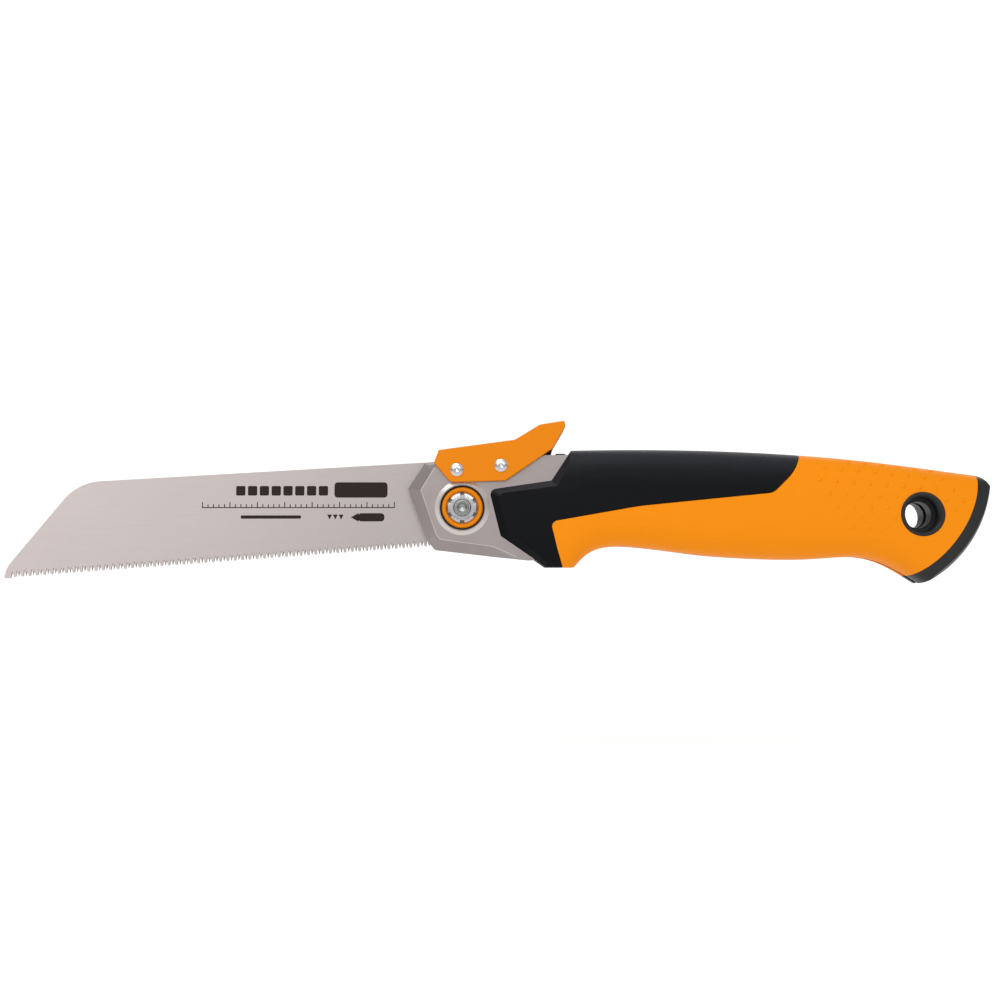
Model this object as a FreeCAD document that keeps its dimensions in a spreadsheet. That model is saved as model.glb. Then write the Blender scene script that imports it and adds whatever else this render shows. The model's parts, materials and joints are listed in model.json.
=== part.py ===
"""A folding pull saw: a fine-toothed blade that folds into a slotted handle and locks under a thumb lever.

Everything is drawn with the blade pivot's centre as the origin. +X runs to the butt of the handle, the blade
points to -X, +Z is up and Y is the thickness. The left side is -Y. All sizes are in millimetres and degrees.
The STEP files are written with the same axes, and with the middle of the hanging hole as the origin.
"""

import FreeCAD, Part
import math
import os

import Sketcher
from FreeCAD import Placement, Rotation, Vector

doc = FreeCAD.newDocument("folding_pull_saw")
sheet = doc.addObject("Spreadsheet::Sheet", "Sizes")

SIZES = {
    # blade
    "blade_thickness": 1.0,
    "tooth_pitch": 25.4 / 19,
    "tooth_count": 114,
    "tooth_line_angle": 4.23,
    "gullet_depth": 2.2,
    "tang_radius": 11.4,
    "notch_depth": 2.0,
    "notch_width": 4.4,
    "fold_angle": 175.6,
    "tip_sweep_radius": 169.7,
    # layers, as distances from the middle plane
    "slot_half_gap": 1.5,
    "liner_outer_face": 3.0,
    "bolster_rim_face": 3.6,
    "bolster_outer_face": 7.5,
    "tongue_outer_face": 5.0,
    "lever_inner_face": 7.65,
    "lever_outer_face": 9.15,
    # pivot
    "bolt_radius": 2.5,
    "bush_radius": 4.0,
    "running_gap": 0.05,
    "washer_radius": 8.0,
    "recess_radius": 8.05,
    "recess_floor": 5.0,
    "collar_radius": 9.9,
    "collar_crest_radius": 8.5,
    "collar_height": 0.8,
    "nut_radius": 5.7,
    "nut_face": 8.4,
    "nut_notch_width": 1.6,
    "nut_notch_count": 6,
    "ring_radius": 7.35,
    "ring_face": 8.1,
    "seal_radius": 7.7,
    "seal_wire_radius": 0.32,
    # lever and lock
    "lever_pin_x": 13.95,
    "lever_pin_z": 15.15,
    "lock_pin_x": -1.95,
    "lock_pin_z": 13.6,
    "rivet_radius": 1.5,
    "rivet_head_radius": 2.35,
    "rivet_head_height": 0.75,
    "lock_bar_half": 1.4,
    "spring_x": 27.0,
    "spring_seat_z": 14.6,
    "spring_top_z": 18.5,
    "spring_coil_radius": 1.12,
    "spring_wire_width": 0.42,
    "stop_pin_x": 9.2,
    "stop_pin_z": 10.4,
    "stop_pin_half": 4.5,
    # handle
    "roof_z": 13.3,
    "foot_z": -21.4,
    "grip_thickness": 2.2,
    "grip_joint": 0.25,
    "section_power": 3.4,
    "screw_radius": 1.5,
    "screw_end": 6.5,
    "screw_head_radius": 2.6,
    "screw_seat": 5.9,
    "screw_head_height": 1.4,
    "front_chamfer_start": 7.4,
    "butt_radius": 44.2,
    "butt_half": 14.5,
    "butt_edge_radius": 5.0,
    "cap_tongue_half": 6.5,
    "hole_x": 163.8,
    "hole_z": -2.6,
    "hole_radius": 4.85,
    "hole_mouth_radius": 6.35,
    "hole_step": 7.3,
    "hole_rim_radius": 7.9,
    "hole_rim_face": 13.4,
}


def fill_sheet():
    """Writes each driving dimension into the sheet: its name in column A and its value in column B."""
    for row, (alias, value) in enumerate(SIZES.items(), start=1):
        sheet.set(f"A{row}", "'" + alias)
        sheet.set(f"B{row}", str(value))
        sheet.setAlias(f"B{row}", alias)
    doc.recompute()


def size(alias):
    return float(sheet.get(alias))


# ---------------------------------------------------------------- outlines


def outline_curves(corners):
    """Curves of a closed outline in the XZ plane.

    A corner is (x, z), or (x, z, radius) where it is rounded. ("arc", x, z) between two corners bends the
    side between them through that point."""
    count = len(corners)
    points = [None if c[0] == "arc" else Vector(c[0], c[1], 0) for c in corners]
    leaves = {}
    arrives = {}
    curves = []
    for i, corner in enumerate(corners):
        if points[i] is None:
            continue
        leaves[i] = arrives[i] = points[i]
        if len(corner) == 3:
            back = (points[i - 1] - points[i]).normalize()
            ahead = (points[(i + 1) % count] - points[i]).normalize()
            half = back.getAngle(ahead) / 2
            reach = corner[2] / math.tan(half)
            centre = points[i] + (back + ahead).normalize() * (corner[2] / math.sin(half))
            middle = centre + (points[i] - centre).normalize() * corner[2]
            arrives[i] = points[i] + back * reach
            leaves[i] = points[i] + ahead * reach
            curves.append(Part.Arc(arrives[i], middle, leaves[i]))
    for i in range(count):
        if points[i] is None:
            continue
        following = (i + 1) % count
        if points[following] is None:
            bend = Vector(corners[following][1], corners[following][2], 0)
            curves.append(Part.Arc(leaves[i], bend, arrives[(i + 2) % count]))
        elif leaves[i].distanceToPoint(arrives[following]) > 1e-6:
            curves.append(Part.LineSegment(leaves[i], arrives[following]))
    return curves


def polar(radius, degrees):
    return (radius * math.cos(math.radians(degrees)), radius * math.sin(math.radians(degrees)))


# ---------------------------------------------------------------- PartDesign helpers


def new_body(label):
    body = doc.addObject("PartDesign::Body", label)
    body.Label = label
    return body


def side_sketch(body, name, offset="0 mm"):
    """A sketch on the body's XZ plane, moved along its normal, -Y, by an expression."""
    plane = next(f for f in body.Origin.OriginFeatures if f.Role == "XZ_Plane")
    sketch = body.newObject("Sketcher::SketchObject", name)
    sketch.AttachmentSupport = [(plane, "")]
    sketch.MapMode = "FlatFace"
    sketch.setExpression(".AttachmentOffset.Base.z", offset)
    return sketch


def draw(sketch, corners):
    for curve in outline_curves(corners):
        index = sketch.addGeometry(curve)
        sketch.addConstraint(Sketcher.Constraint("Block", index))


def draw_circle(sketch, x, z, radius):
    """A circle whose radius follows an expression."""
    index = sketch.addGeometry(Part.Circle(Vector(x, z, 0), Vector(0, 0, 1), 1.0))
    sketch.addConstraint(Sketcher.Constraint("DistanceX", -1, 1, index, 3, x))
    sketch.addConstraint(Sketcher.Constraint("DistanceY", -1, 1, index, 3, z))
    radius_index = sketch.addConstraint(Sketcher.Constraint("Radius", index, 1.0))
    sketch.setExpression(f"Constraints[{radius_index}]", radius)


def pad(body, sketch, length, both_sides=False, name="plate"):
    feature = body.newObject("PartDesign::Pad", name)
    feature.Profile = sketch
    feature.SideType = "Symmetric" if both_sides else "One side"
    feature.setExpression("Length", length)
    return feature


def cut_through(body, sketch, name):
    """A pocket through the whole body, both ways from its sketch."""
    feature = body.newObject("PartDesign::Pocket", name)
    feature.Profile = sketch
    feature.SideType = "Symmetric"
    feature.Type = "ThroughAll"
    return feature


def pocket(body, sketch, length, name):
    """A pocket of that total width, centred on its sketch."""
    feature = body.newObject("PartDesign::Pocket", name)
    feature.Profile = sketch
    feature.SideType = "Symmetric"
    feature.setExpression("Length", length)
    return feature


def step_down(body, name, centre, radius, floor):
    """A round recess from well outside the left face in to a floor."""
    sketch = side_sketch(body, name + "_outline", floor + " + 20")
    draw_circle(sketch, *centre, radius)
    feature = body.newObject("PartDesign::Pocket", name)
    feature.Profile = sketch
    feature.Length = 20
    return feature


def soften(body, name, radius, wanted):
    """Rounds the edges of the body's latest shape that pass a test."""
    base = body.Tip
    names = [f"Edge{i}" for i, edge in enumerate(base.Shape.Edges, start=1) if wanted(edge)]
    feature = body.newObject("PartDesign::Fillet", name)
    feature.Base = (base, names)
    feature.setExpression("Radius", radius)
    body.Tip = feature
    return feature


def mirrored(label, source):
    """The right-hand twin of a left-hand piece, mirrored in the middle plane."""
    twin = doc.addObject("Part::Mirroring", label)
    twin.Source = source
    twin.Normal = Vector(0, 1, 0)
    twin.Label = label
    return twin


# ---------------------------------------------------------------- Part helpers


def cylinder(name, x, z, radius, start, length):
    """A cylinder along Y whose radius, start and length are expressions."""
    item = doc.addObject("Part::Cylinder", name)
    item.setExpression("Radius", radius)
    item.setExpression("Height", length)
    item.Placement = Placement(Vector(x, 0, z), Rotation(Vector(1, 0, 0), -90))
    item.setExpression(".Placement.Base.y", start)
    return item


def cut(label, base, tool):
    item = doc.addObject("Part::Cut", label)
    item.Base = base
    item.Tool = tool
    item.Refine = False
    item.Label = label
    return item


def fuse(label, items):
    item = doc.addObject("Part::MultiFuse", label)
    item.Shapes = items
    item.Refine = False
    item.Label = label
    return item


def tube(label, x, z, outer, inner, start, length):
    """A plain tube along Y."""
    body = cylinder(label + "_outside", x, z, outer, start, length)
    bore = cylinder(label + "_bore", x, z, inner, start + " - 1", length + " + 2")
    return cut(label, body, bore)


def feature(label, shape):
    item = doc.addObject("Part::Feature", label)
    item.Shape = shape
    item.Label = label
    return item


def spun(label, profile, x, z):
    """A turned piece: (radius, y) points spun about an axis along Y through (x, z)."""
    points = [Vector(radius, y, 0) for radius, y in profile]
    face = Part.Face(Part.makePolygon(points + points[:1]))
    solid = face.revolve(Vector(0, 0, 0), Vector(0, 1, 0), 360)
    solid.translate(Vector(x, 0, z))
    return feature(label, solid)


# ---------------------------------------------------------------- blade


HEEL = (-12.2, -13.67)
SPINE_BACK = (-9.0, 17.25)


def tooth_line(distance):
    """A point on the line of tooth tips, at a distance from the heel towards the tip."""
    angle = math.radians(size("tooth_line_angle"))
    return (HEEL[0] - distance * math.cos(angle), HEEL[1] - distance * math.sin(angle))


def lock_angle():
    """The direction of the lock bar's nose from the pivot."""
    return 99.5


def build_blade():
    body = new_body("blade")
    toothed = size("tooth_pitch") * size("tooth_count")
    plate = side_sketch(body, "blade_outline")
    last_tooth = tooth_line(toothed)
    draw(plate, [
        HEEL,
        last_tooth,
        (last_tooth[0] - 0.2, last_tooth[1] - 0.4),
        (-166.7, -25.2),
        ("arc", -166.05, -22.3),
        (-164.35, -19.4),
        (-140.6, 9.64, 18.5),
        SPINE_BACK,
        (-4.5, 6.0),
        (-7.0, -2.0),
        (-9.5, -7.3),
    ])
    pad(body, plate, "Sizes.blade_thickness", both_sides=True)
    tang = side_sketch(body, "tang_outline")
    draw_circle(tang, 0, 0, "Sizes.tang_radius")
    pad(body, tang, "Sizes.blade_thickness", both_sides=True, name="tang")
    hole = side_sketch(body, "pivot_hole_outline")
    draw_circle(hole, 0, 0, "Sizes.bush_radius + Sizes.running_gap")
    cut_through(body, hole, "pivot_hole")
    for name, turn in (("open", 0.0), ("closed", -size("fold_angle"))):
        notch = side_sketch(body, name + "_notch_outline")
        notch.AttachmentOffset = Placement(Vector(), Rotation(Vector(0, 0, 1), lock_angle() + turn))
        half = size("notch_width") / 2
        rim = size("tang_radius")
        floor = rim - size("notch_depth")
        draw(notch, [
            (floor, -half + 0.3, 0.5), (rim + 2, -half), (rim + 2, half), (floor, half - 0.3, 0.5),
        ])
        cut_through(body, notch, name + "_notch")
    cut_teeth(body)
    return body


def cut_teeth(body):
    """Two rows of V gullets, one pitch apart and slanted opposite ways: the teeth are ground alternately."""
    pitch = size("tooth_pitch")
    count = int(size("tooth_count"))
    slant = 24.0
    tip_flat = 0.16
    for row, side in (("even", 1), ("odd", -1)):
        outline = side_sketch(body, row + "_gullet_outline")
        outline.AttachmentOffset = Placement(
            Vector(HEEL[0], HEEL[1], 0), Rotation(Vector(0, 0, 1), size("tooth_line_angle")))
        depth = size("gullet_depth") if side > 0 else size("gullet_depth") - 0.35
        middle = -pitch * (0.5 if side > 0 else 1.5)
        half = (pitch - tip_flat) / 2
        draw(outline, [
            (middle - half - 0.09, -0.3),
            (middle + half + 0.09, -0.3),
            (middle + 0.1, depth),
            (middle - 0.12, depth),
        ])
        gullet = cut_through(body, outline, row + "_gullet")
        gullet.UseCustomVector = True
        gullet.Direction = Vector(side * math.sin(math.radians(slant)), math.cos(math.radians(slant)), 0)
        doc.recompute()
        teeth = body.newObject("PartDesign::LinearPattern", row + "_gullets")
        teeth.Originals = [gullet]
        teeth.Direction = (outline, ["H_Axis"])
        teeth.Reversed = True
        teeth.Mode = "Spacing"
        teeth.setExpression("Offset", "2 * Sizes.tooth_pitch")
        teeth.Occurrences = count // 2
        body.Tip = teeth


# ---------------------------------------------------------------- frame: liners, spacer, bolsters


SCREWS = [(44.0, 16.2), (80.0, 16.4), (110.0, 15.8)]


def rivet_notch():
    """An open-topped notch that lets the lock rivet rise with the lever."""
    x, z = size("lock_pin_x"), size("lock_pin_z")
    half = size("rivet_radius") + 0.35
    return [(x - half, 30), (x - half, z - half, 1.6), (x + half, z - half, 1.6), (x + half, 30)]


def build_liner():
    body = new_body("liner_left")
    plate = side_sketch(body, "liner_outline", "Sizes.slot_half_gap")
    draw(plate, [
        (-11.0, 14.8, 2), (-16.6, 7.2, 2), (-10.6, -10.6, 2), (-8.0, -13.6, 2), (11.0, -15.9, 3),
        (23.8, -17.2, 1), (32.2, -16.4, 1), (38.0, -7.6, 3), (38.6, 5.0, 1), (118.0, 5.0, 3),
        (121.5, 9.0, 3), (121.5, 16.6, 2), (60.0, 18.7, 60), (30.0, 18.2, 5),
    ])
    pad(body, plate, "Sizes.liner_outer_face - Sizes.slot_half_gap")
    holes = side_sketch(body, "liner_hole_outlines")
    draw_circle(holes, 0, 0, "Sizes.bush_radius")
    draw_circle(holes, size("lever_pin_x"), size("lever_pin_z"), "Sizes.rivet_radius + Sizes.running_gap")
    draw_circle(holes, size("stop_pin_x"), size("stop_pin_z"), "Sizes.rivet_radius")
    for x, z in SCREWS:
        draw_circle(holes, x, z, "Sizes.screw_radius + 0.1")
    cut_through(body, holes, "liner_holes")
    notch = side_sketch(body, "liner_notch_outline")
    draw(notch, rivet_notch())
    cut_through(body, notch, "liner_notch")
    mirrored("liner_right", body)


def build_back_spacer():
    """The bar between the liners that roofs the blade's slot, with a ledge for the lever's spring."""
    body = new_body("back_spacer")
    bar = side_sketch(body, "spacer_outline")
    seat = size("spring_seat_z")
    roof = size("roof_z")
    draw(bar, [
        (23.6, roof), (121.0, roof), (121.0, 16.4), (60.0, 18.6, 60), (38.4, 18.6, 1), (37.2, 20.1, 0.8),
        (33.8, 20.1, 0.6), (33.6, 18.6), (33.0, 18.6, 0.3), (33.0, seat, 0.5), (23.6, seat),
    ])
    pad(body, bar, "2 * Sizes.slot_half_gap", both_sides=True)
    holes = side_sketch(body, "spacer_hole_outlines")
    for x, z in SCREWS:
        draw_circle(holes, x, z, "Sizes.screw_radius + 0.1")
    cut_through(body, holes, "spacer_holes")


# Corner by corner, the bolster's outer rim and the flat face inside its bevels.
BOLSTER_RIM = [
    (-11.4, 16.3), (-13.9, 16.1), (-19.8, 7.0), (-12.7, -11.9), (-10.1, -15.0), (10.5, -17.4),
    (24.0, -18.8), (33.0, -18.0), (40.0, -8.0), (40.0, 19.1), (30.0, 19.0), (24.0, 17.6),
]
BOLSTER_FACE = [
    (-8.6, 16.3), (-10.6, 13.6), (-14.9, 6.3), (-9.3, -9.7), (-7.8, -11.4), (11.3, -14.0),
    (18.0, -17.6), (33.0, -17.2), (40.0, -8.0), (40.0, 19.1), (30.0, 19.0), (24.0, 17.6),
]


TONGUE = [(39.0, 5.0), (48.0, 6.0, 1.5), (48.0, 18.9, 1.5), (39.0, 19.0)]


def build_collar(body):
    """The raised ring round the pivot recess, cut off flat where the lever's cheek passes over it."""
    outer = size("bolster_outer_face")
    ring = body.newObject("PartDesign::AdditiveCone", "pivot_collar")
    ring.Placement = Placement(Vector(0, -outer, 0), Rotation(Vector(1, 0, 0), 90))
    ring.setExpression("Radius1", "Sizes.collar_radius")
    ring.setExpression("Radius2", "Sizes.collar_crest_radius")
    ring.setExpression("Height", "Sizes.collar_height")
    room = side_sketch(body, "lever_room_outline", "Sizes.bolster_outer_face + 5")
    draw(room, [(-12, 8.9), (12, 8.9), (12, 12), (-12, 12)])
    flat = body.newObject("PartDesign::Pocket", "lever_room")
    flat.Profile = room
    flat.Length = 5
    body.Tip = flat


def build_bolster():
    """The left bolster: a straight rim, bevels up to a flat face, and a tongue that enters the handle."""
    body = new_body("bolster_left")
    rim = side_sketch(body, "bolster_rim_outline", "Sizes.liner_outer_face")
    draw(rim, BOLSTER_RIM)
    pad(body, rim, "Sizes.bolster_rim_face - Sizes.liner_outer_face", name="bolster_rim")
    foot = side_sketch(body, "bevel_foot_outline", "Sizes.bolster_rim_face")
    draw(foot, BOLSTER_RIM)
    crest = side_sketch(body, "bevel_crest_outline", "Sizes.bolster_outer_face")
    draw(crest, BOLSTER_FACE)
    bevels = body.newObject("PartDesign::AdditiveLoft", "bolster_bevels")
    bevels.Profile = foot
    bevels.Sections = [crest]
    bevels.Ruled = True
    tongue = side_sketch(body, "tongue_outline", "Sizes.liner_outer_face")
    draw(tongue, TONGUE)
    pad(body, tongue, "Sizes.tongue_outer_face - Sizes.liner_outer_face", name="bolster_tongue")
    doc.recompute()
    outer = size("bolster_outer_face")
    soften(body, "bolster_face_edges", "0.6 mm", lambda e: e.BoundBox.YMax < 0.01 - outer
           and e.BoundBox.XMax < 19 and e.BoundBox.ZMax < 15)
    build_collar(body)
    holes = side_sketch(body, "bolster_hole_outlines")
    draw_circle(holes, 0, 0, "Sizes.bolt_radius + 0.1")
    draw_circle(holes, size("lever_pin_x"), size("lever_pin_z"), "Sizes.rivet_radius + Sizes.running_gap")
    draw_circle(holes, *SCREWS[0], "Sizes.screw_radius + 0.1")
    cut_through(body, holes, "bolster_holes")
    notch = side_sketch(body, "bolster_notch_outline")
    draw(notch, rivet_notch())
    cut_through(body, notch, "bolster_notch")
    step_down(body, "pivot_recess", (0, 0), "Sizes.recess_radius", "Sizes.recess_floor")
    bushes = side_sketch(body, "bush_and_stop_outlines", "Sizes.liner_outer_face")
    draw_circle(bushes, size("stop_pin_x"), size("stop_pin_z"), "Sizes.rivet_radius")
    blind = body.newObject("PartDesign::Pocket", "stop_pin_hole")
    blind.Profile = bushes
    blind.Reversed = True
    blind.setExpression("Length", "Sizes.stop_pin_half - Sizes.liner_outer_face")
    body.Tip = blind
    mirrored("bolster_right", body)


# ---------------------------------------------------------------- pivot


def build_pivot():
    tube("pivot_bush", 0, 0, "Sizes.bush_radius", "Sizes.bolt_radius + Sizes.running_gap",
         "-Sizes.liner_outer_face", "2 * Sizes.liner_outer_face")
    starts = {"left": "0.01 - Sizes.slot_half_gap", "right": "Sizes.blade_thickness / 2 + 0.01"}
    washers = [
        tube("washer_" + side, 0, 0, "Sizes.washer_radius", "Sizes.bush_radius + Sizes.running_gap", start,
             "Sizes.slot_half_gap - Sizes.blade_thickness / 2 - 0.02")
        for side, start in starts.items()
    ]
    pair = doc.addObject("Part::Compound", "thrust_washers")
    pair.Links = washers
    pair.Label = "thrust_washers"
    build_bolt()
    build_nut()
    for side, sign in (("left", -1), ("right", 1)):
        build_trim_ring(side, sign)
        seal = doc.addObject("Part::Torus", "pivot_seal_" + side)
        seal.setExpression("Radius1", "Sizes.seal_radius")
        seal.setExpression("Radius2", "Sizes.seal_wire_radius")
        seal.Placement = Placement(Vector(0, sign * 7.3, 0), Rotation(Vector(1, 0, 0), 90))
        seal.Label = "pivot_seal_" + side


def build_bolt():
    """The pivot bolt: a low domed head with a hex socket on the right, and a dimpled end on the left."""
    shank, head, floor = size("bolt_radius"), size("nut_radius"), size("recess_floor")
    end, crown = -9.0, 8.4
    profile = [
        (0, end + 0.9), (1.3, end + 0.7), (1.8, end), (shank - 0.2, end), (shank, end + 0.3),
        (shank, floor), (head, floor), (head, crown - 1.2), (head - 0.9, crown - 0.3), (head - 2.0, crown),
        (0, crown),
    ]
    bolt = spun("pivot_bolt_turned", profile, 0, 0)
    socket = doc.addObject("Part::Prism", "pivot_bolt_socket")
    socket.Polygon = 6
    socket.Circumradius = 2.3
    socket.Height = 5
    socket.Placement = Placement(Vector(0, crown - 2.2, 0), Rotation(Vector(1, 0, 0), -90))
    cut("pivot_bolt", bolt, socket)


def build_nut():
    """The round pivot nut, with spanner notches in its edge and a dished ring round the bolt's end."""
    radius, face, floor = size("nut_radius"), size("nut_face"), size("recess_floor")
    bore = size("bolt_radius")
    profile = [
        (bore, -floor), (radius, -floor), (radius, -face + 0.7), (radius - 0.6, -face + 0.1),
        (radius - 1.0, -face), (bore + 0.75, -face), (bore + 0.3, -face + 0.5), (bore, -face + 0.5),
    ]
    nut = spun("pivot_nut_turned", profile, 0, 0)
    notches = []
    for i in range(int(size("nut_notch_count"))):
        angle = 90 + 360 * i / size("nut_notch_count")
        notch = doc.addObject("Part::Box", f"pivot_nut_notch_{i}")
        notch.Length = 2.6
        notch.setExpression("Width", "Sizes.nut_face - Sizes.recess_floor + 1")
        notch.setExpression("Height", "Sizes.nut_notch_width")
        turn = Rotation(Vector(0, -1, 0), angle)
        corner = turn.multVec(Vector(radius - 1.15, 0, -size("nut_notch_width") / 2))
        notch.Placement = Placement(corner + Vector(0, -face - 0.5, 0), turn)
        notches.append(notch)
    cut("pivot_nut", nut, fuse("pivot_nut_notches", notches))


def build_trim_ring(side, sign):
    """The coloured ring that fills the recess round the nut and the bolt's head."""
    inner, outer = size("nut_radius") + 0.1, size("ring_radius")
    floor, face = size("recess_floor"), size("ring_face")
    profile = [
        (inner, floor), (outer, floor), (outer, face - 0.5), (outer - 0.35, face - 0.1), (outer - 0.7, face),
        (inner + 0.35, face - 0.15), (inner, face - 0.5),
    ]
    spun("pivot_ring_" + side, [(radius, sign * y) for radius, y in profile], 0, 0)


def build_stop_pin():
    cylinder("stop_pin", size("stop_pin_x"), size("stop_pin_z"), "Sizes.rivet_radius",
             "-Sizes.stop_pin_half", "2 * Sizes.stop_pin_half")


# ---------------------------------------------------------------- lever and lock


LEVER = [
    (-8.5, 20.75, 0.5), (18.9, 24.45, 5.0), (27.9, 29.95, 3.0), (36.7, 31.35, 0.4), (37.2, 29.4, 1.0),
    (32.4, 21.2, 0.8), (15.6, 9.65, 3.0), (-4.2, 9.1, 3.0), (-10.2, 16.2, 1.0),
]


def build_lever():
    """The thumb lever: two cheeks outside the bolsters, joined over the top by a web and a thumb tab."""
    body = new_body("lock_lever")
    outline = side_sketch(body, "lever_outline")
    draw(outline, LEVER)
    pad(body, outline, "2 * Sizes.lever_outer_face", both_sides=True, name="lever_block")
    doc.recompute()
    outer = size("lever_outer_face")
    soften(body, "lever_edges", "0.45 mm", lambda e: abs(abs(e.CenterOfMass.y) - outer) < 1e-3)
    channel = side_sketch(body, "lever_channel_outline")
    draw(channel, [(-20, 0), (-20, 17.0), (-8.0, 18.75), (18.0, 22.3), (60, 22.3), (60, 0)])
    pocket(body, channel, "2 * Sizes.lever_inner_face", "lever_channel")
    hollow = side_sketch(body, "tab_hollow_outline")
    draw(hollow, [(19.5, 21.0), (21.0, 23.2, 1), (28.5, 27.4, 1), (32.0, 27.4, 1), (31.0, 21.0)])
    pocket(body, hollow, "11 mm", "tab_hollow")
    holes = side_sketch(body, "lever_hole_outlines")
    draw_circle(holes, size("lever_pin_x"), size("lever_pin_z"), "Sizes.rivet_radius")
    draw_circle(holes, size("lock_pin_x"), size("lock_pin_z"), "Sizes.rivet_radius")
    body.Tip = cut_through(body, holes, "lever_holes")


def build_lock_bar():
    """The flat bar between the liners that carries the lock nose in front and takes the spring behind."""
    body = new_body("lock_bar")
    reach = size("tang_radius") + 0.3
    angle = lock_angle()
    outline = side_sketch(body, "lock_bar_outline")
    draw(outline, [
        polar(reach, angle + 9.5), ("arc", *polar(reach, angle)), polar(reach, angle - 9.5),
        (1.6, 13.6), (18.2, 13.7, 2), (24.4, 18.55, 1), (31.9, 18.55, 0.6), (32.6, 21.4, 0.4), (30.4, 22.1),
        (18.0, 22.1, 2), (-6.6, 18.7, 0.6),
    ])
    pad(body, outline, "2 * Sizes.lock_bar_half", both_sides=True)
    holes = side_sketch(body, "lock_bar_hole_outlines")
    draw_circle(holes, size("lever_pin_x"), size("lever_pin_z"), "Sizes.rivet_radius")
    draw_circle(holes, size("lock_pin_x"), size("lock_pin_z"), "Sizes.rivet_radius")
    cut_through(body, holes, "lock_bar_holes")


def build_rivet(label, x, z):
    """A rivet through both cheeks, with a low domed and dimpled head at each end."""
    shank, head = size("rivet_radius"), size("rivet_head_radius")
    seat = size("lever_outer_face")
    top = seat + size("rivet_head_height")
    half = [
        (0, top - 0.45), (0.55, top - 0.3), (0.95, top), (1.5, top - 0.08), (head - 0.25, top - 0.35),
        (head, seat + 0.15), (head, seat), (shank, seat),
    ]
    spun(label, half + [(radius, -y) for radius, y in reversed(half)], x, z)


def build_spring():
    """The lever's square-wire spring, standing on the spacer's ledge under the lock bar's tail."""
    half, coil = size("spring_wire_width") / 2, size("spring_coil_radius")
    bottom, top = size("spring_seat_z") + half, size("spring_top_z") - half
    turns = 5
    helix = Part.makeHelix((top - bottom) / turns, top - bottom, coil)
    corners = [Vector(coil + across_wire, 0, up) for across_wire, up in
               ((-half, -half), (half, -half), (half, half), (-half, half), (-half, -half))]
    coil_solid = Part.Wire(helix).makePipeShell([Part.makePolygon(corners)], True, True)
    coil_solid.translate(Vector(size("spring_x"), 0, bottom))
    feature("lever_spring", coil_solid)


# ---------------------------------------------------------------- handle


# Side view of the handle's top and bottom lines, and its half thickness, along X.
TOP_LINE = [
    (-12, 20.3), (39.5, 21.1), (64.5, 21.3), (108.4, 20.1), (141.3, 17.6), (174.1, 13.5), (204.0, 9.6),
]
BOTTOM_LINE = [
    (-12, -23.6), (22, -23.6), (34, -23.7), (38.3, -22.9), (41.4, -20.2), (44.8, -16.9), (49.5, -14.6),
    (57.5, -13.8), (75.6, -15.7),
    (108.4, -18.4), (130.4, -18.15), (141.3, -17.6), (152.2, -19.9), (161.4, -24.9), (171.0, -31.0),
    (204, -52),
]
HALF_WIDTHS = [(-12, 9.8), (30, 10.9), (60, 12.2), (100, 13.1), (140, 12.9), (165, 13.2), (204, 13.0)]
STATIONS = [
    0, 10, 20, 28, 33, 36, 39, 41.5, 44, 47, 51, 58, 68, 82, 98, 114, 128, 140, 149, 157, 165, 175, 187, 200,
]

# The outline of the grip's front end.
GRIP_FRONT = [
    (42.6, 26.0), (32.1, 9.9), (9.5, 6.55, 2.2), (13.7, -10.2), (24.3, -17.5), (30.8, -22.0), (30.8, -60),
]
# Where the front end's chamfer would meet a plane outside the flank.
GRIP_CREST = [
    (47.3, 26.0), (34.5, 6.9), (14.7, 3.85, 2.2), (18.0, -8.1), (27.3, -14.6), (34.5, -19.9), (34.5, -60),
]

# The edge of the grip over the shells, the joint of the end cap, and the butt.
GRIP_EDGE = [
    (36.4, -60), (36.4, -22.6), (34.1, -15.0, 25), (31.7, -5.2, 2.2), (63.3, 0.3, 80), (110.9, 5.0, 4.5),
    (118.4, 12.3, 20), (122.6, 21.0), (123.0, 60),
]
CAP_EDGE = [(159.3, -60), (159.3, -25.1), ("arc", 176.8, -9.8), (183.9, 6.0), (185.6, 13.0), (196, 60)]
BUTT_CENTRE = (145.3, 12.5)
CAP_TONGUE = [
    (175.5, 8.5, 1), (186.0, 8.5), (186.0, 3.0), (179.5, -9.0), (171.5, -17.0), (168.6, -13.6, 1),
    (173.6, -7.5, 3),
]


def smooth_line(points):
    curve = Part.BSplineCurve()
    curve.interpolate([Vector(x, z, 0) for x, z in points])
    return curve


def height_at(curve, x):
    """The height at x of a smooth side-view line."""
    plumb = Part.LineSegment(Vector(x, -100, 0), Vector(x, 100, 0))
    point = curve.intersect(plumb)[0]
    return point.Y


TOP_CURVE = smooth_line(TOP_LINE)
BOTTOM_CURVE = smooth_line(BOTTOM_LINE)
WIDTH_CURVE = smooth_line(HALF_WIDTHS)


def section_frame(x):
    """The handle's mid height, half height and half width at x."""
    top, bottom = height_at(TOP_CURVE, x), height_at(BOTTOM_CURVE, x)
    return (top + bottom) / 2, (top - bottom) / 2, height_at(WIDTH_CURVE, x)


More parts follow.
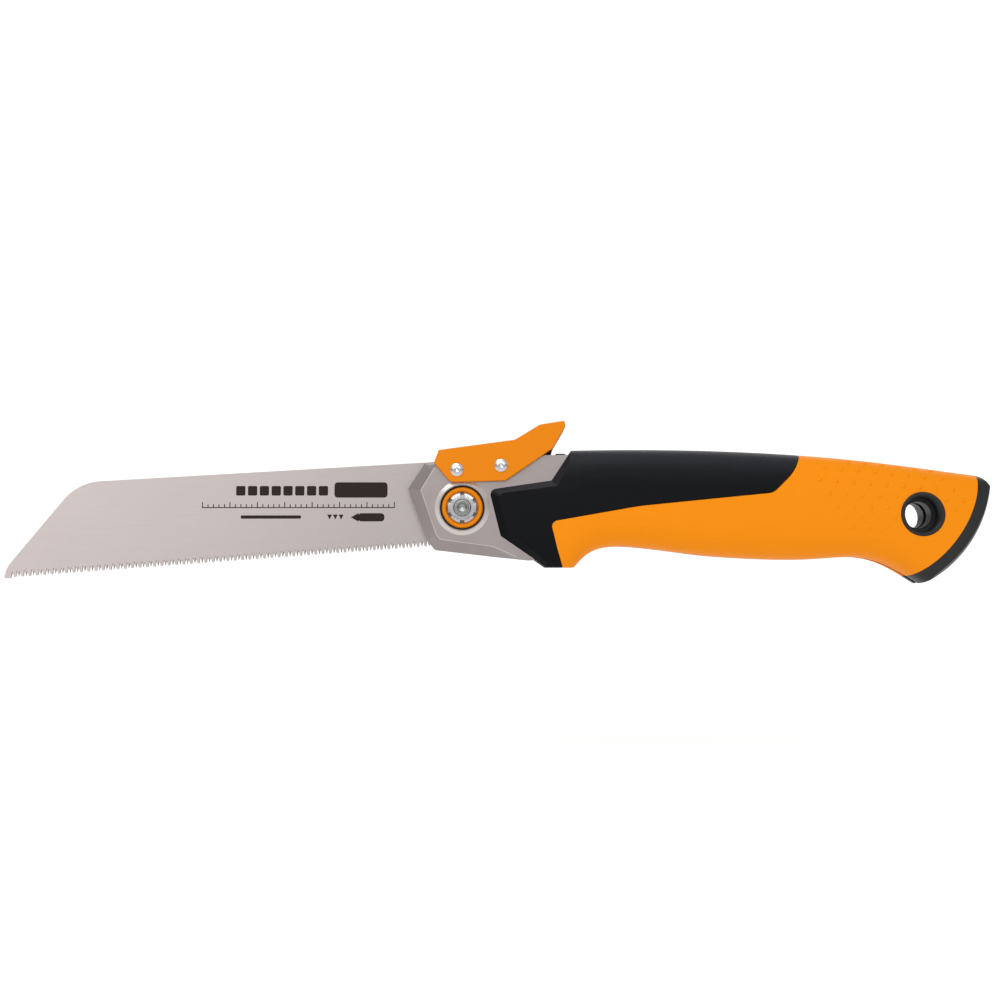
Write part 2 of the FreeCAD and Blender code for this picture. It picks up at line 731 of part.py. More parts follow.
def handle_section(x, inset):
    """A rounded cross-section of the handle: a superellipse in four equal curves, shrunk by an inset."""
    middle, half_height, half_width = section_frame(x)
    power = 2 / size("section_power")
    steps = 8
    towards = [Vector(0, 0, 1), Vector(0, -1, 0), Vector(0, 0, -1), Vector(0, 1, 0)]
    edges = []
    for quarter in range(4):
        points = []
        for i in range(steps + 1):
            turn = math.pi / 2 * (quarter + i / steps)
            side, rise = round(math.cos(turn), 9), round(math.sin(turn), 9)
            y = (half_width - inset) * math.copysign(abs(side) ** power, side)
            z = (half_height - inset) * math.copysign(abs(rise) ** power, rise)
            points.append(Vector(x, y, middle + z))
        curve = Part.BSplineCurve()
        curve.interpolate(points, InitialTangent=towards[quarter], FinalTangent=towards[(quarter + 1) % 4])
        edges.append(curve.toShape())
    return Part.Wire(edges)


def lofted(label, inset):
    return feature(label, Part.makeLoft([handle_section(x, inset) for x in STATIONS], True, False))


def prism(name, corners, start, depth):
    """A side outline extruded towards -Y, from y = -start, as deep as depth. Both are expressions."""
    sketch = doc.addObject("Sketcher::SketchObject", name + "_outline")
    sketch.Placement = Placement(Vector(0, 0, 0), Rotation(Vector(1, 0, 0), 90))
    sketch.setExpression(".Placement.Base.y", f"-1 * ({start})")
    for curve in outline_curves(corners):
        sketch.addConstraint(Sketcher.Constraint("Block", sketch.addGeometry(curve)))
    item = doc.addObject("Part::Extrusion", name)
    item.Base = sketch
    item.DirMode = "Custom"
    item.Dir = Vector(0, -1, 0)
    item.Solid = True
    item.setExpression("LengthFwd", depth)
    return item


def across(name, corners, half):
    """A side outline extruded both ways from the middle plane."""
    return prism(name, corners, f"-1 * ({half})", f"2 * ({half})")


def common(label, base, tool):
    item = doc.addObject("Part::Common", label)
    item.Base = base
    item.Tool = tool
    item.Refine = False
    item.Label = label
    return item


def front_chamfer(side, sign):
    """What is cut away in front of the grip's flank on one side, so that its edge is chamfered."""
    far = [(-40, -60), (-40, 26)]
    sections = []
    levels = {"Sizes.front_chamfer_start": GRIP_FRONT, "Sizes.front_chamfer_start + 4.6": GRIP_CREST}
    for depth, corners in levels.items():
        sketch = doc.addObject("Sketcher::SketchObject", f"grip_chamfer_{side}_{len(sections)}")
        sketch.Placement = Placement(Vector(0, 0, 0), Rotation(Vector(1, 0, 0), 90))
        sketch.setExpression(".Placement.Base.y", f"{sign} * ({depth})")
        for curve in outline_curves(corners + far):
            sketch.addConstraint(Sketcher.Constraint("Block", sketch.addGeometry(curve)))
        sections.append(sketch)
    loft = doc.addObject("Part::Loft", "grip_chamfer_" + side)
    loft.Sections = sections
    loft.Solid = True
    loft.Ruled = True
    return loft


def butt_barrel():
    """A turned disc with rounded rims, whose outside is the handle's butt."""
    outer, half, edge = size("butt_radius"), size("butt_half"), size("butt_edge_radius")
    near = [(0, half), (outer - edge, half), (outer - 0.3 * edge, half - 0.3 * edge), (outer, half - edge)]
    far = [(radius, -y) for radius, y in reversed(near)]
    return spun("butt_barrel", near + far, *BUTT_CENTRE)


def slot_zone():
    """The blade's slot under the roof: everything the folded blade's tip can sweep."""
    roof, sweep = size("roof_z"), size("tip_sweep_radius")
    corner = math.sqrt(sweep ** 2 - roof ** 2)
    low = polar(sweep, -25)
    outline = [(20, roof), (corner, roof), ("arc", *polar(sweep, -8)), low, (20, low[1])]
    return across("blade_slot", outline, "Sizes.slot_half_gap")


def build_inner_space():
    """All that is hollow inside the handle: the slot, the frame's seats and the screw holes."""
    spacer = across("spacer_seat", [
        (20, 13.0), (121.0, 13.0), (121.0, 16.4), (60.0, 18.6, 60), (20, 18.6),
    ], "Sizes.slot_half_gap")
    liners = across("liner_seat", [
        (30, 5.0), (118.0, 5.0, 3), (121.5, 9.0, 3), (121.5, 16.6, 2), (60.0, 18.7, 60), (30, 18.2),
    ], "Sizes.liner_outer_face")
    bolsters = across("bolster_seat", [
        (5, -19.4), (10.5, -17.4), (24.0, -18.8), (33.0, -18.0), (40.0, -8.0), (40.0, 19.1), (5, 19.1),
    ], "Sizes.bolster_outer_face")
    tongues = across("tongue_seat", TONGUE, "Sizes.tongue_outer_face")
    items = [slot_zone(), spacer, liners, bolsters, tongues]
    for i, (x, z) in enumerate(SCREWS):
        items += [
            cylinder(f"screw_hole_{i}", x, z, "Sizes.screw_radius", "-Sizes.screw_end", "Sizes.screw_end"),
            cylinder(f"screw_way_{i}", x, z, "Sizes.screw_radius + 0.1", "0 mm", "Sizes.screw_seat"),
            cylinder(f"screw_head_seat_{i}", x, z, "Sizes.screw_head_radius + 0.1", "Sizes.screw_seat",
                     "Sizes.screw_head_height"),
        ]
    return fuse("inner_space", items)


def build_grip(outside, core, inner):
    """The soft grip: a saddle over the top of the shells whose front end wraps the bolsters."""
    joint = size("grip_joint")
    edge = [(corner[0] - joint, corner[1] + joint, *corner[2:]) for corner in GRIP_EDGE]
    wrap = common("grip_block", outside, across("grip_zone", edge + [(-45, 60), (-45, -60)], "30 mm"))
    ahead = across("grip_front_waste", GRIP_FRONT + [(-40, -60), (-40, 26)], "Sizes.front_chamfer_start")
    waste = fuse("grip_waste", [ahead, front_chamfer("left", -1), front_chamfer("right", 1)])
    trimmed = cut("trimmed_grip", wrap, waste)
    cut("grip_sleeve", trimmed, fuse("grip_space", [core, inner]))


def build_shells(outside, core, inner):
    """The two hard shells, which meet in the middle plane above and behind the slot."""
    skin = common("shell_skin", outside, across("shell_zone", GRIP_EDGE + CAP_EDGE[::-1], "30 mm"))
    whole = fuse("shell_pair", [skin, core])
    tongue = across("cap_tongue_seat", CAP_TONGUE, "Sizes.cap_tongue_half")
    hole = cylinder("hole_seat", size("hole_x"), size("hole_z"), "Sizes.hole_rim_radius", "-30 mm", "60 mm")
    hollow = cut("hollow_shells", whole, fuse("shell_space", [inner, tongue, hole]))
    for side, sign in (("left", -1), ("right", 1)):
        half = doc.addObject("Part::Box", "half_space_" + side)
        half.Length, half.Width, half.Height = 260, 40, 160
        half.Placement.Base = Vector(-40, min(0, sign * 40), -90)
        common("handle_shell_" + side, hollow, half)


def build_cap(outside, inner):
    """The dark end cap round the butt, keyed into the shells by a tongue."""
    zone = across("cap_zone", CAP_EDGE + [(230, 60), (230, -60)], "30 mm")
    corner = across("butt_corner_waste", [(181.0, 12.9), ("arc", 187.0, 10.7), (189.3, 5.0), (200, 5.0),
                                          (200, 60), (181.0, 60)], "30 mm")
    room = cut("cap_room", common("cap_barrel", butt_barrel(), zone), corner)
    block = common("cap_block", outside, room)
    tongue = across("cap_tongue", CAP_TONGUE, "Sizes.cap_tongue_half")
    cut("end_cap", fuse("cap_with_tongue", [block, tongue]), inner)


def build_hang_bushes():
    """The stepped bushes that line the hanging hole, one in each shell."""
    narrow, wide, rim = size("hole_radius"), size("hole_mouth_radius"), size("hole_rim_radius")
    inner, step, face = size("slot_half_gap"), size("hole_step"), size("hole_rim_face")
    profile = [
        (narrow, inner), (rim, inner), (rim, face - 0.35), (rim - 0.35, face), (wide + 0.45, face),
        (wide, face - 0.5), (wide, step), (narrow + 0.3, step), (narrow, step - 0.3),
    ]
    for side, sign in (("left", -1), ("right", 1)):
        points = [(radius, sign * y) for radius, y in profile]
        spun("hang_bush_" + side, points, size("hole_x"), size("hole_z"))


def build_screws():
    """Three screws that clamp the shells on the liners and the spacer."""
    screws = []
    for i, (x, z) in enumerate(SCREWS):
        shank = cylinder(f"screw_shank_{i}", x, z, "Sizes.screw_radius", "0.2 - Sizes.screw_end",
                         "Sizes.screw_end + Sizes.screw_seat")
        head = cylinder(f"screw_head_{i}", x, z, "Sizes.screw_head_radius", "Sizes.screw_seat",
                        "Sizes.screw_head_height - 0.1")
        socket = doc.addObject("Part::Prism", f"screw_socket_{i}")
        socket.Polygon = 6
        socket.Circumradius = 1.2
        socket.Height = 2
        socket.Placement = Placement(Vector(x, size("screw_seat") + 0.5, z), Rotation(Vector(1, 0, 0), -90))
        screws.append(cut(f"screw_{i}", fuse(f"screw_blank_{i}", [shank, head]), socket))
    group = doc.addObject("Part::Compound", "handle_screws")
    group.Links = screws


# ---------------------------------------------------------------- the whole saw


NODES = [
    "blade", "bolster_left", "bolster_right", "liner_left", "liner_right", "back_spacer", "stop_pin",
    "pivot_bolt", "pivot_nut", "pivot_bush", "thrust_washers", "pivot_ring_left", "pivot_ring_right",
    "pivot_seal_left", "pivot_seal_right", "lock_lever", "lock_bar", "lock_rivet", "lever_pivot_pin",
    "lever_spring", "handle_shell_left", "handle_shell_right", "grip_sleeve", "end_cap",
    "hang_bush_left", "hang_bush_right", "handle_screws",
]


def build_handle():
    below = doc.addObject("Part::Box", "foot_waste")
    below.Length, below.Width, below.Height = 70, 60, 40
    below.Placement.Base = Vector(-20, -30, 0)
    below.setExpression(".Placement.Base.z", "Sizes.foot_z - 40")
    outside = cut("handle_outside", lofted("handle_loft", 0.0), below)
    core_zone = across("core_zone", [(41.5, -60), (150, -60), (150, 60), (41.5, 60)], "30 mm")
    core = common("shell_core", lofted("core_loft", size("grip_thickness")), core_zone)
    inner = build_inner_space()
    build_grip(outside, core, inner)
    build_shells(outside, core, inner)
    build_cap(outside, inner)
    build_hang_bushes()
    build_screws()


def write_parts():
    """Checks every object and writes one STEP file for each piece, measured from the hanging hole."""
    for item in doc.Objects:
        if "Invalid" in item.State or "Error" in item.State:
            raise RuntimeError(f"{item.Label} did not recompute: {item.State}")
    os.makedirs("parts", exist_ok=True)
    to_hole = Vector(-size("hole_x"), 0, -size("hole_z"))
    for node in NODES:
        shape = doc.getObjectsByLabel(node)[0].Shape.copy()
        if shape.isNull() or not shape.isValid():
            raise RuntimeError(f"{node} has no valid shape")
        shape.translate(to_hole)
        shape.exportStep(f"parts/{node}.step")


fill_sheet()
build_blade()
build_liner()
build_back_spacer()
build_bolster()
build_stop_pin()
build_pivot()
build_lever()
build_lock_bar()
build_rivet("lock_rivet", size("lock_pin_x"), size("lock_pin_z"))
build_rivet("lever_pivot_pin", size("lever_pin_x"), size("lever_pin_z"))
build_spring()
build_handle()
doc.recompute()
write_parts()
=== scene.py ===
"""Looks for the folding pull saw: materials, small surface details, a pale floor, lights and the camera."""

import json
import math

import bmesh
import bpy
from mathutils import Matrix, Vector
from mathutils.bvhtree import BVHTree


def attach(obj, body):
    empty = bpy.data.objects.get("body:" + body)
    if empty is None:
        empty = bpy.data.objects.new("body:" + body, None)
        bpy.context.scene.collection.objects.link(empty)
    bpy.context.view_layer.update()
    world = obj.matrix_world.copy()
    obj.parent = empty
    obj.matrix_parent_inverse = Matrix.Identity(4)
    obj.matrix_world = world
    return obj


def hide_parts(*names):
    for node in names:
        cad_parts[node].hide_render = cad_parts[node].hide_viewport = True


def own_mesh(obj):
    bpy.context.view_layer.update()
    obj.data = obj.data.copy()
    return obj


MM = 0.001
SKY = 0.80  # brightness of the surroundings
SEEN_SKY = SKY * 1.4  # the same, as the camera sees it: clear white
SPLIT_ANGLE = math.radians(28)  # edges sharper than this stay sharp

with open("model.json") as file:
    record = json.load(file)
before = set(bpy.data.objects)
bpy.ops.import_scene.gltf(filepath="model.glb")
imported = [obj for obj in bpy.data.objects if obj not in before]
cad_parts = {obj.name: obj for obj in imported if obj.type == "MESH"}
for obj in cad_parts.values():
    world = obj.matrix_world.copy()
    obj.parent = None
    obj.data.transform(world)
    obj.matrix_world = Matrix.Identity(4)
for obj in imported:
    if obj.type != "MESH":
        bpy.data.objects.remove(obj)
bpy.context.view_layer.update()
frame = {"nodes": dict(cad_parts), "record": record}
scene = bpy.context.scene
nodes = frame["nodes"]
joints = {row["name"]: row for row in frame["record"]["behaviour"]["joints"]}
pivot = Vector(joints["blade_fold"]["pos_m"])  # the places written below are measured from the blade's pivot


# ------------------------------------------------------------------ materials


class Graph:
    """A material's node tree, with short calls for the nodes used here."""

    def __init__(self, name):
        self.material = bpy.data.materials.new(name)
        self.material.use_nodes = True
        self.tree = self.material.node_tree
        self.shader = self.tree.nodes["Principled BSDF"]
        self.coords = self.tree.nodes.new("ShaderNodeTexCoord").outputs["Object"]

    def node(self, kind, values=None, links=None):
        made = self.tree.nodes.new("ShaderNode" + kind)
        for key, value in (values or {}).items():
            if isinstance(key, str) and hasattr(made, key):
                setattr(made, key, value)
            else:
                made.inputs[key].default_value = value
        for key, source in (links or {}).items():
            self.tree.links.new(source, made.inputs[key])
        return made

    def stretched(self, scale, turn):
        """The object's coordinates, turned about Y and scaled, so that noise is drawn out into a grain."""
        mapping = self.node("Mapping", links={"Vector": self.coords})
        mapping.vector_type = "POINT"
        mapping.inputs["Rotation"].default_value = (0, math.radians(turn), 0)
        mapping.inputs["Scale"].default_value = scale
        return mapping.outputs["Vector"]

    def noise(self, vector, scale, detail):
        made = self.node("TexNoise", {"Scale": scale, "Detail": detail, "Roughness": 0.55}, {"Vector": vector})
        return made.outputs["Fac"]

    def between(self, factor, low, high):
        """Remaps a 0..1 value to a range."""
        made = self.node("MapRange", {"To Min": low, "To Max": high}, {"Value": factor})
        return made.outputs["Result"]

    def ramp(self, value, start, end, low=0.0):
        """Goes from low to 1 as the value goes from start to end, and holds outside them."""
        made = self.node("MapRange", {"From Min": start, "From Max": end, "To Min": low}, {"Value": value})
        return made.outputs["Result"]

    def mix_colour(self, factor, first, second):
        made = self.tree.nodes.new("ShaderNodeMix")
        made.data_type = "RGBA"
        for index, value in ((6, first), (7, second)):
            if isinstance(value, tuple):
                made.inputs[index].default_value = (*value, 1.0)
            else:
                self.tree.links.new(value, made.inputs[index])
        self.tree.links.new(factor, made.inputs[0])
        return made.outputs[2]

    def link(self, source, name):
        self.tree.links.new(source, self.shader.inputs[name])

    def set(self, **values):
        for key, value in values.items():
            name = key.replace("_", " ").title().replace("Ior", "IOR")
            self.shader.inputs[name].default_value = value

    def relief(self, height, distance, strength):
        """Bumps the surface: distance in metres."""
        bump = self.node("Bump", {"Strength": strength, "Distance": distance}, {"Height": height})
        self.link(bump.outputs["Normal"], "Normal")


def blade_steel():
    """Bead-blasted and lengthwise brushed saw steel."""
    g = Graph("saw_steel")
    grain = g.noise(g.stretched((60, 900, 2600), turn=-4.2), 1.0, 4.0)
    cloud = g.noise(g.coords, 35.0, 3.0)
    speckle = g.noise(g.coords, 5200.0, 2.0)
    # painted shade near the bolster and painted light towards the tip: two steel colours blended along the
    # blade
    shaded_steel = g.mix_colour(grain, (0.365, 0.328, 0.315), (0.43, 0.388, 0.375))
    lit_steel = g.mix_colour(grain, (0.52, 0.462, 0.45), (0.62, 0.552, 0.54))
    along = g.node("SeparateXYZ", links={0: g.coords}).outputs[0]
    tone = g.mix_colour(g.ramp(along, pivot.x - 0.03, pivot.x - 0.16), shaded_steel, lit_steel)
    tone = g.mix_colour(g.between(cloud, 0.0, 0.3), tone, (0.41, 0.366, 0.352))
    g.link(tone, "Base Color")
    g.set(metallic=0.82)
    g.link(g.between(grain, 0.40, 0.56), "Roughness")
    mixed = g.node("Math", {"operation": "ADD"}, {0: grain, 1: speckle})
    g.relief(mixed.outputs[0], 0.00002, 0.35)
    return g.material


def bolster_metal():
    """Fine satin grey of the cast bolsters, with a painted highlight on the rounded ridges round their flat
    faces.
    """
    g = Graph("bolster_metal")
    fine = g.noise(g.coords, 6500.0, 2.0)
    cloud = g.noise(g.coords, 120.0, 4.0)
    tone = g.mix_colour(cloud, (0.275, 0.24, 0.235), (0.325, 0.285, 0.28))
    # painted highlight: the colour is brightened where the surface turns away from the flat face, on the
    # ridges and the pivot collar
    normal = g.tree.nodes.new("ShaderNodeNewGeometry").outputs["Normal"]
    facing = g.node("SeparateXYZ", links={0: normal}).outputs[1]
    facing = g.node("Math", {"operation": "ABSOLUTE"}, {0: facing}).outputs[0]
    painted_ridge_highlight = g.tree.nodes.new("ShaderNodeValToRGB")
    g.tree.links.new(facing, painted_ridge_highlight.inputs[0])
    stops = painted_ridge_highlight.color_ramp.elements
    stops[0].position, stops[1].position = 0.80, 0.995
    stops[1].color = (0.0, 0.0, 0.0, 1.0)
    stops.new(0.85).color = (1.0, 1.0, 1.0, 1.0)
    stops.new(0.96).color = (1.0, 1.0, 1.0, 1.0)
    g.link(g.mix_colour(painted_ridge_highlight.outputs["Color"], tone, (0.60, 0.56, 0.53)), "Base Color")
    g.set(metallic=0.75)
    g.link(g.between(cloud, 0.36, 0.46), "Roughness")
    g.relief(fine, 0.00002, 0.3)
    return g.material


def bright_metal(name, colour, rough):
    """Turned metal with smudges. A painted reflection darkens its colour where it mirrors the horizon of a
    room.
    """
    g = Graph(name)
    smudge = g.noise(g.coords, 400.0, 4.0)
    fine = g.noise(g.coords, 9000.0, 2.0)
    # painted reflection: the colour is scaled by the height of the mirrored direction, like a room's bright
    # and dark bands
    mirrored = g.tree.nodes.new("ShaderNodeTexCoord").outputs["Reflection"]
    height = g.node("SeparateXYZ", links={0: mirrored}).outputs[2]
    painted_room_reflection = g.node("ValToRGB", links={0: g.ramp(height, -1.0, 1.0)})
    stops = painted_room_reflection.color_ramp.elements
    stops[0].color = (0.85, 0.85, 0.86, 1.0)
    stops[1].color = (0.95, 0.95, 0.97, 1.0)
    for place, level in ((0.36, 0.68), (0.49, 0.42), (0.56, 0.50), (0.66, 1.0)):
        stops.new(place).color = (level, level, level * 1.02, 1.0)
    tone = g.mix_colour(smudge, colour, tuple(c * 0.86 for c in colour))
    lit = g.node("VectorMath", {"operation": "MULTIPLY"}, {0: tone, 1: painted_room_reflection.outputs["Color"]})
    g.link(lit.outputs["Vector"], "Base Color")
    g.set(metallic=1.0)
    g.link(g.between(smudge, rough * 0.7, rough * 1.5), "Roughness")
    g.relief(fine, 0.00001, 0.2)
    return g.material


def plastic(name, colour, dark, rough, grain=4200.0, depth=0.00002, shine=0.5):
    """Moulded plastic: a slight mottle and a fine moulded grain."""
    g = Graph(name)
    cloud = g.noise(g.coords, 60.0, 4.0)
    fine = g.noise(g.coords, grain, 3.0)
    g.link(g.mix_colour(g.between(cloud, 0.2, 0.8), colour, dark), "Base Color")
    g.link(g.between(fine, rough - 0.05, rough + 0.07), "Roughness")
    g.set(specular_ior_level=shine)
    g.relief(fine, depth, 0.5)
    return g.material


def grip_rubber():
    """Soft black rubber: a fine moulded grain, and a painted lighter grey where the surface turns upwards, as
    if lit from above.
    """
    g = Graph("grip_rubber")
    fine = g.noise(g.coords, 3000.0, 3.0)
    cloud = g.noise(g.coords, 90.0, 4.0)
    # painted light: the colour turns lighter grey as the surface faces upwards
    normal = g.tree.nodes.new("ShaderNodeNewGeometry").outputs["Normal"]
    upward = g.node("SeparateXYZ", links={0: normal}).outputs[2]
    painted_top_light = g.ramp(upward, 0.06, 0.75)
    black = g.mix_colour(cloud, (0.001, 0.0013, 0.0026), (0.002, 0.0024, 0.004))
    g.link(g.mix_colour(painted_top_light, black, (0.024, 0.025, 0.029)), "Base Color")
    g.link(g.between(fine, 0.42, 0.56), "Roughness")
    g.set(specular_ior_level=0.1)
    g.relief(fine, 0.00004, 0.5)
    return g.material


materials = {
    "saw_steel": blade_steel(),
    "bolster_metal": bolster_metal(),
    "bright_chrome": bright_metal("bright_chrome", (0.84, 0.84, 0.85), 0.22),
    "liner_steel": bright_metal("liner_steel", (0.42, 0.41, 0.41), 0.35),
    "bearing_bronze": bright_metal("bearing_bronze", (0.55, 0.36, 0.16), 0.3),
    "black_steel": bright_metal("black_steel", (0.02, 0.02, 0.022), 0.45),
    "orange_plastic": plastic("orange_plastic", (0.82, 0.245, 0.0), (0.80, 0.234, 0.0), 0.52, shine=0.12),
    "grip_rubber": grip_rubber(),
    "black_plastic": plastic("black_plastic", (0.010, 0.0105, 0.012), (0.014, 0.0145, 0.016), 0.42, shine=0.3),
    "seal_rubber": plastic("seal_rubber", (0.006, 0.005, 0.005), (0.009, 0.008, 0.008), 0.45, shine=0.3),
}
# painted shade: a darker copy of the orange plastic for the lever and the pivot rings
shaded_orange = plastic("shaded_orange", (0.725, 0.208, 0.0), (0.705, 0.198, 0.0), 0.45, shine=0.12)
ink = plastic("mark_ink", (0.018, 0.012, 0.010), (0.026, 0.019, 0.016), 0.6, 6000.0, 0.000005, shine=0.1)

bolt_steel = bright_metal("bolt_steel", (0.50, 0.51, 0.48), 0.42)
own_look = {"lock_lever": shaded_orange, "pivot_ring_left": shaded_orange, "pivot_ring_right": shaded_orange,
            "pivot_bolt": bolt_steel}
slots = {row["node"]: row["material_slot"] for row in frame["record"]["subparts"]}


def smooth(item):
    """Rounds the shading across gentle edges and keeps flat faces flat."""
    for polygon in item.data.polygons:
        polygon.use_smooth = True
    weld = item.modifiers.new("weld", "WELD")
    weld.merge_threshold = 1e-6
    split = item.modifiers.new("edges", "EDGE_SPLIT")
    split.split_angle = SPLIT_ANGLE
    flat = item.modifiers.new("flat_faces", "WEIGHTED_NORMAL")
    flat.weight = 80


for name, node in nodes.items():
    node.data.materials.clear()
    node.data.materials.append(own_look.get(name, materials[slots[name]]))
    smooth(node)


# ------------------------------------------------------------------ small pieces


def piece(name, mesh, material, body):
    """Makes a visible piece that rides on a body."""
    item = bpy.data.objects.new(name, mesh)
    scene.collection.objects.link(item)
    item.data.materials.append(material)
    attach(item, body)
    return item


MARK_FACE = -0.512
MARK_DEPTH = 0.02
CORNER_STEPS = 6


def rounded_mark(mesh, centre, width, height, corner):
    """Adds a mark with rounded corners to a bmesh: centre, width and height in mm in the XZ plane."""
    points = []
    for quarter in range(4):
        cx = centre[0] + (width / 2 - corner) * (1 if quarter in (0, 3) else -1)
        cz = centre[1] + (height / 2 - corner) * (1 if quarter in (0, 1) else -1)
        for i in range(CORNER_STEPS + 1):
            angle = math.pi / 2 * (quarter + i / CORNER_STEPS)
            points.append((cx + corner * math.cos(angle), cz + corner * math.sin(angle)))
    polygon_mark(mesh, points)


def polygon_mark(mesh, points):
    """Adds a mark to a bmesh: a thin slab whose face stands just proud of the blade's left side."""
    front = [mesh.verts.new(Vector((x, MARK_FACE, z)) * MM) for x, z in points]
    back = [mesh.verts.new(Vector((x, MARK_FACE + MARK_DEPTH, z)) * MM) for x, z in points]
    mesh.faces.new(front)
    mesh.faces.new(back[::-1])
    for i in range(len(front)):
        j = (i + 1) % len(front)
        mesh.faces.new((front[i], back[i], back[j], front[j]))


def finish_mesh(name, mesh):
    """Turns a bmesh into a mesh with its faces pointing out."""
    bmesh.ops.recalc_face_normals(mesh, faces=mesh.faces)
    data = bpy.data.meshes.new(name)
    mesh.to_mesh(data)
    mesh.free()
    return data


def blade_marks():
    """Plain printed marks on the blade, with no lettering: blocks, bars, a scale and an arrow."""
    mesh = bmesh.new()
    for i in range(8):
        rounded_mark(mesh, (-81.1 + 4.31 * i, 6.6), 3.4, 3.5, 0.5)
    rounded_mark(mesh, (-37.2, 6.9), 19.4, 5.6, 1.2)
    for i in range(36):
        tall = 1.9 if i % 5 == 0 else 1.1
        rounded_mark(mesh, (-95.0 + 2.0 * i, 0.6 + tall / 2), 0.34, tall, 0.1)
    rounded_mark(mesh, (-60.0, 0.45), 70.4, 0.34, 0.1)
    rounded_mark(mesh, (-70.0, -3.0), 22.0, 1.2, 0.4)
    for i in range(3):
        x = -48.6 + 2.1 * i
        polygon_mark(mesh, [(x - 0.9, -2.1), (x + 0.9, -2.1), (x, -3.9)])
    rounded_mark(mesh, (-33.4, -3.1), 9.6, 3.0, 1.2)
    polygon_mark(mesh, [(-40.9, -3.1), (-38.0, -1.5), (-38.0, -4.7)])
    bmesh.ops.translate(mesh, vec=pivot, verts=mesh.verts)
    piece("blade_marks", finish_mesh("blade_marks", mesh), ink, "blade")


HANG_RIM = 9.4
CAP_EDGE = 179.0
DOT_PITCH = 5.95
DOT_RADIUS = 0.8
DOT_HEIGHT = 0.34
DOT_ROWS = [  # x and z of a row's first dot, the row's slope and its count
    (138.8, 16.6, -0.113, 6),
    (129.4, 14.3, -0.098, 8),
    (127.3, 9.7, -0.075, 10),
    (130.6, 4.9, -0.055, 9),
    (133.4, 0.2, -0.03, 8),
    (136.0, -3.4, -0.02, 7),
    (139.0, -6.9, -0.01, 3),
]


def dot_spots():
    """(x, z) of the raised dots on the rear of the flank, in mm. The rows leave the hanging hole free."""
    hole = Vector((-pivot.x, -pivot.z)) / MM
    for first, height, slope, count in DOT_ROWS:
        for i in range(count):
            spot = Vector((first + DOT_PITCH * i, height + slope * DOT_PITCH * i))
            if (spot - hole).length > HANG_RIM and spot.x < CAP_EDGE:
                yield spot


def low_dome(mesh, place, normal, height):
    """Adds a flattened ball to a bmesh, half sunk in the surface."""
    turn = normal.to_track_quat("Z", "Y").to_matrix().to_4x4()
    ball = bmesh.ops.create_uvsphere(mesh, u_segments=20, v_segments=12, radius=1.0)["verts"]
    size = Matrix.Diagonal((DOT_RADIUS * MM, DOT_RADIUS * MM, height * MM, 1.0))
    bmesh.ops.transform(mesh, matrix=Matrix.Translation(place) @ turn @ size, verts=ball)


def grip_dots():
    """Low domes on the outside of both shells. They flatten out down the flank."""
    for side, sign in (("left", -1), ("right", 1)):
        shell = nodes["handle_shell_" + side].data
        tree = BVHTree.FromPolygons([v.co for v in shell.vertices], [p.vertices for p in shell.polygons])
        mesh = bmesh.new()
        for spot in dot_spots():
            eye = pivot + Vector((spot.x * MM, sign * 0.05, spot.y * MM))
            place, normal, _, _ = tree.ray_cast(eye, Vector((0, -sign, 0)))
            if place is None:
                continue
            if normal.y * sign < 0:
                normal = -normal
            below_top = max(0.0, 12.0 - spot.y)
            low_dome(mesh, place, normal, DOT_HEIGHT * max(0.45, 1.0 - 0.035 * below_top))
        data = finish_mesh("dots_" + side, mesh)
        for polygon in data.polygons:
            polygon.use_smooth = True
        piece("grip_dots_" + side, data, materials["orange_plastic"], "handle")


def squashed_spring():
    """The lever's spring, as a copy of its CAD mesh that rides on the handle in place of the hidden CAD node.
    """
    mesh = nodes["lever_spring"].data.copy()
    mesh.materials.clear()
    finish = slots["lever_spring"]
    coil = piece("lever_spring_coil", mesh, materials[finish], "handle")
    smooth(coil)
    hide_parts("lever_spring")
    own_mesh(coil)


blade_marks()
grip_dots()
squashed_spring()


# ------------------------------------------------------------------ studio


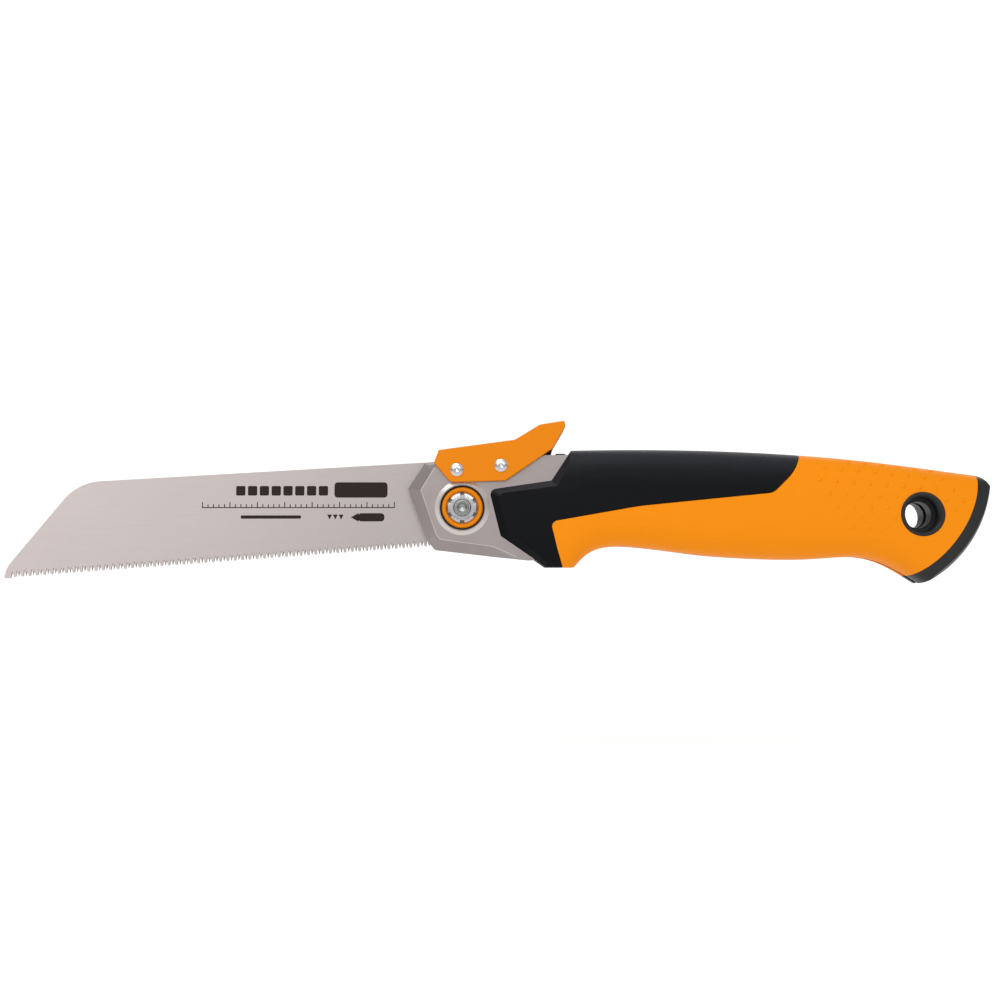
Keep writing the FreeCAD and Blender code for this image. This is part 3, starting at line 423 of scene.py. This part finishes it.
def stage_floor():
    """A pale floor under the saw. It fades into the background's brightness with distance, with no horizon."""
    mesh = bmesh.new()
    bmesh.ops.create_circle(mesh, cap_ends=True, segments=96, radius=30.0)
    floor = bpy.data.objects.new("stage_floor", finish_mesh("stage_floor", mesh))
    floor.location = pivot + Vector((0, 0, -0.09))
    scene.collection.objects.link(floor)
    g = Graph("stage_paint")
    fine = g.noise(g.coords, 40.0, 2.0)
    g.link(g.mix_colour(fine, (0.80, 0.80, 0.80), (0.78, 0.78, 0.78)), "Base Color")
    g.set(roughness=0.9, specular_ior_level=0.1)
    glow = g.node("Emission", {"Strength": SEEN_SKY})
    away = g.node("VectorMath", {"operation": "LENGTH"}, {0: g.coords})
    fade = g.ramp(away.outputs["Value"], 0.1, 0.9, low=0.7)
    mixed = g.node("MixShader", links={0: fade, 1: g.shader.outputs[0], 2: glow.outputs[0]})
    g.tree.links.new(mixed.outputs[0], g.tree.nodes["Material Output"].inputs["Surface"])
    floor.data.materials.append(g.material)


def area_light(name, place, aim, size, energy):
    """A soft rectangular lamp at a place, turned towards aim."""
    light = bpy.data.lights.new(name, "AREA")
    light.shape = "RECTANGLE"
    light.size, light.size_y = size
    light.energy = energy
    item = bpy.data.objects.new(name, light)
    item.location = pivot + Vector(place)
    item.rotation_euler = (Vector(aim) - Vector(place)).to_track_quat("-Z", "Y").to_euler()
    scene.collection.objects.link(item)


stage_floor()
area_light("key", (-0.25, -0.45, 0.80), (0.02, 0, 0), (0.9, 0.5), 4.5)
area_light("fill", (-0.10, -1.1, 0.35), (0.05, 0, 0), (1.2, 0.5), 3.0)
area_light("rim", (0.1, 0.6, 0.6), (0.02, 0, 0), (1.2, 0.4), 2.5)

world = bpy.data.worlds.new("studio")
world.use_nodes = True
background = world.node_tree.nodes["Background"]
background.inputs["Color"].default_value = (1.0, 1.0, 1.0, 1.0)
seen = world.node_tree.nodes.new("ShaderNodeLightPath").outputs["Is Camera Ray"]
lift = world.node_tree.nodes.new("ShaderNodeMapRange")
lift.inputs["To Min"].default_value = SKY * 0.7
lift.inputs["To Max"].default_value = SEEN_SKY
world.node_tree.links.new(seen, lift.inputs["Value"])
world.node_tree.links.new(lift.outputs["Result"], background.inputs["Strength"])
scene.world = world
scene.view_settings.view_transform = "Standard"

camera = bpy.data.objects.new("camera", bpy.data.cameras.new("camera"))
scene.collection.objects.link(camera)
camera.location = pivot + Vector((0.01356, -0.470, -0.0274))
camera.data.lens = 46.4
camera.data.sensor_width = 36.0
camera.data.clip_start = 0.01
aim = pivot + Vector((0.01356, 0.0, 0.00326))
camera.rotation_euler = (aim - camera.location).to_track_quat("-Z", "Y").to_euler()
scene.camera = camera
